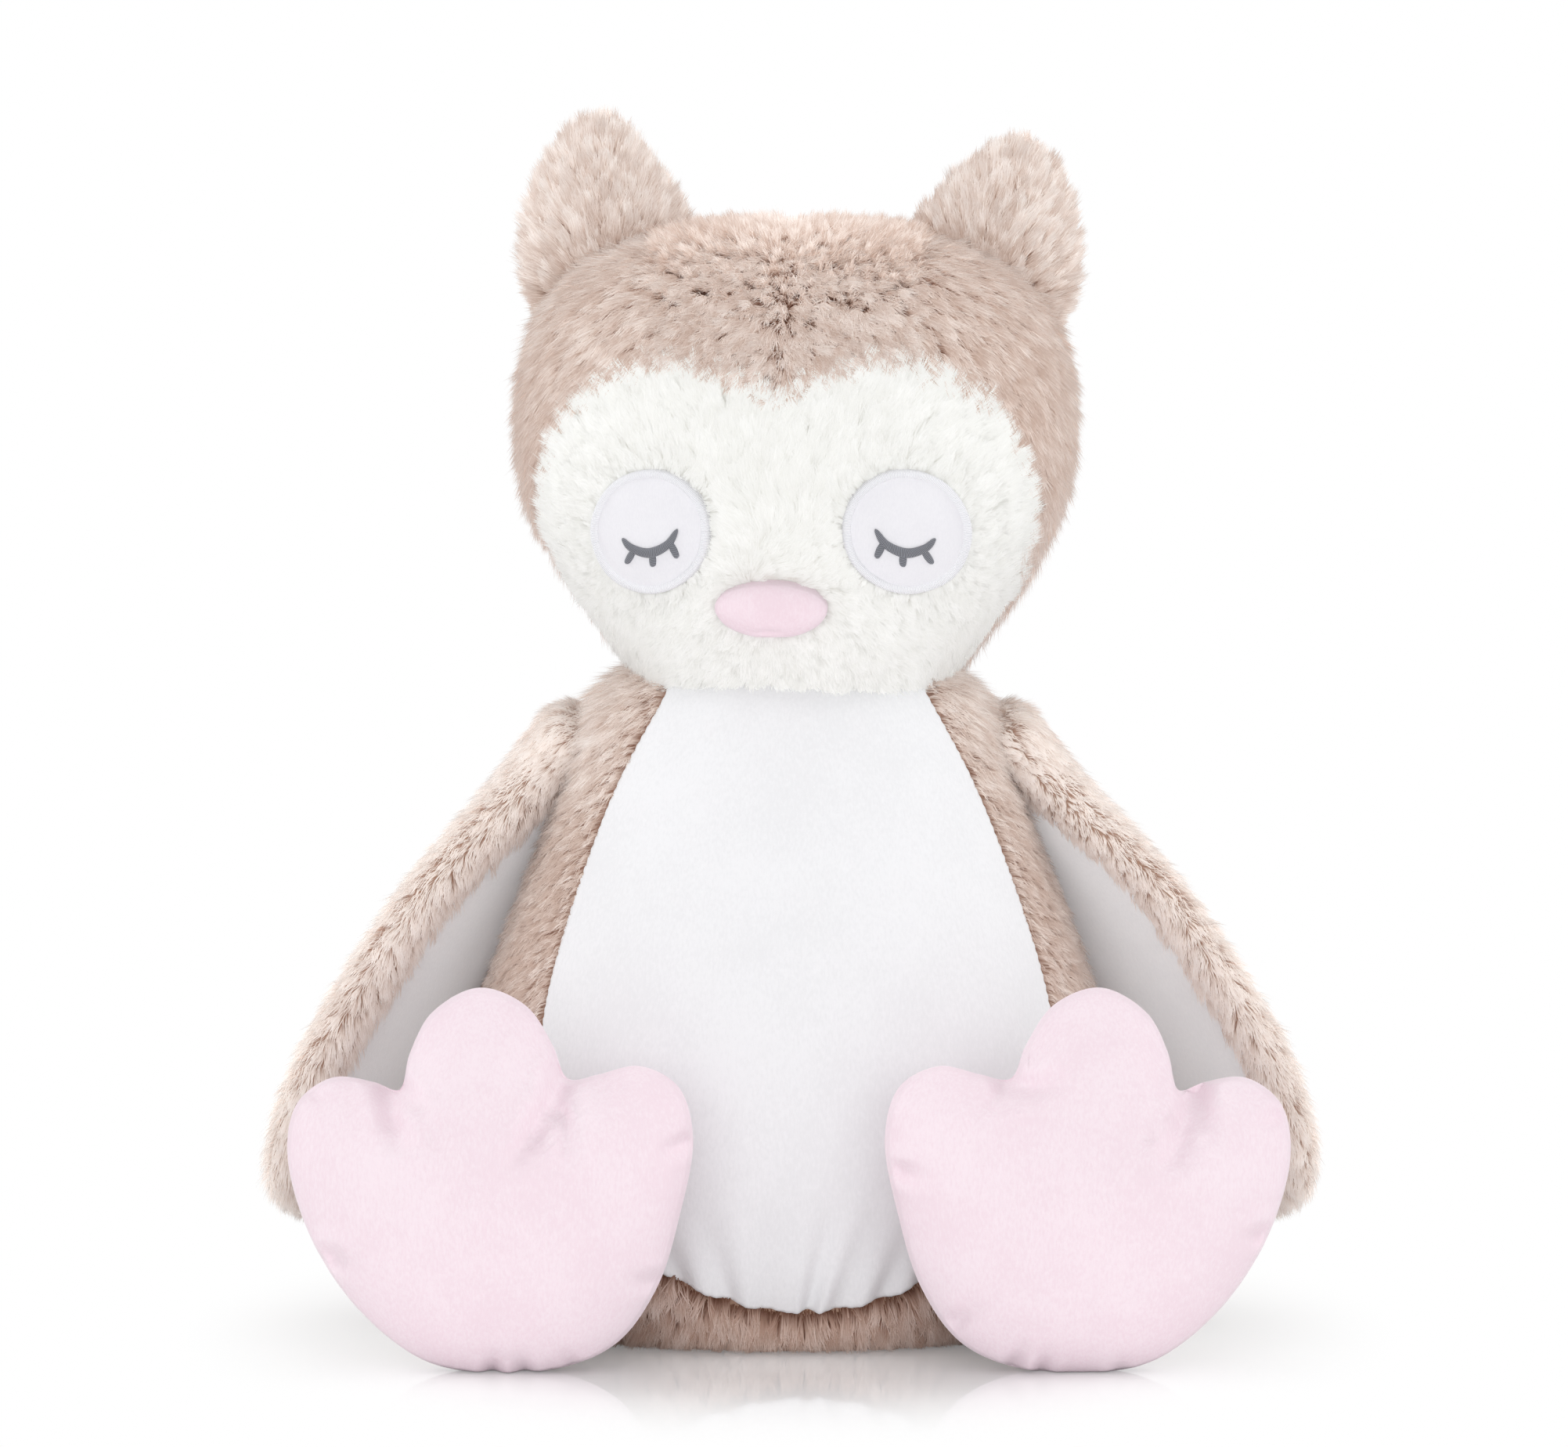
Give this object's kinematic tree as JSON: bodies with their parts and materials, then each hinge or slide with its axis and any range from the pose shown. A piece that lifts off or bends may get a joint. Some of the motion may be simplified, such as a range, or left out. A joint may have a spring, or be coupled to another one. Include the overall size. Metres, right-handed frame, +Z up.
{
  "type": "plush owl",
  "caption": "Sitting plush owl with closed embroidered eyes, pile fabric, a velour belly, hinged wings lined in velour, and hinged legs with big three-toed feet.",
  "frame": {"origin": "middle of the pressed flat seat, on the floor", "axes": "+Z up, -Y out of the face, +X towards the owl's own left"},
  "size_m": [0.2771, 0.1824, 0.3199],
  "materials": {
    "brown_pile": "combed light brown pile with a darker foot",
    "white_pile": "long white pile",
    "white_velour": "short smooth white velour",
    "pink_velour": "short smooth pale pink velour",
    "eye_velour": "very short off-white velour",
    "white_thread": "glossy satin stitch",
    "grey_thread": "glossy satin stitch",
    "filling": "loose polyester fibre"
  },
  "bodies": {
    "owl": {"body_filling": "filling", "belly_panel": "white_velour", "body_side_left": "brown_pile", "body_side_right": "brown_pile", "seat_panel": "brown_pile", "head_filling": "filling", "crown_left": "brown_pile", "crown_right": "brown_pile", "head_side_left": "brown_pile", "head_side_right": "brown_pile", "face_panel": "white_pile", "ear_left_front": "brown_pile", "ear_left_back": "brown_pile", "ear_left_filling": "filling", "ear_right_front": "brown_pile", "ear_right_back": "brown_pile", "ear_right_filling": "filling", "eye_patch_left": "eye_velour", "eye_patch_right": "eye_velour", "eye_border_left": "white_thread", "eye_border_right": "white_thread", "lashes_left": "grey_thread", "lashes_right": "grey_thread", "beak": "pink_velour"},
    "wing_left": {"wing_left_outer": "brown_pile", "wing_left_lining": "white_velour", "wing_left_filling": "filling"},
    "wing_right": {"wing_right_outer": "brown_pile", "wing_right_lining": "white_velour", "wing_right_filling": "filling"},
    "leg_left": {"leg_left_tube": "brown_pile", "leg_left_filling": "filling", "foot_left_front": "pink_velour", "foot_left_back": "pink_velour", "foot_left_filling": "filling"},
    "leg_right": {"leg_right_tube": "brown_pile", "leg_right_filling": "filling", "foot_right_front": "pink_velour", "foot_right_back": "pink_velour", "foot_right_filling": "filling"}
  },
  "joints": [
    {"name": "wing_left_lift", "type": "hinge", "parent": "owl", "child": "wing_left", "pos_m": [0.059, 0, 0.157], "axis": [0, -1, 0], "range_deg": [0, 95]},
    {"name": "wing_right_lift", "type": "hinge", "parent": "owl", "child": "wing_right", "pos_m": [-0.059, 0, 0.157], "axis": [0, 1, 0], "range_deg": [0, 95]},
    {"name": "leg_left_fold", "type": "hinge", "parent": "owl", "child": "leg_left", "pos_m": [0.068, -0.058, 0.026], "axis": [1, 0, 0], "range_deg": [-20, 60]},
    {"name": "leg_right_fold", "type": "hinge", "parent": "owl", "child": "leg_right", "pos_m": [-0.068, -0.058, 0.026], "axis": [1, 0, 0], "range_deg": [-20, 60]}
  ]
}
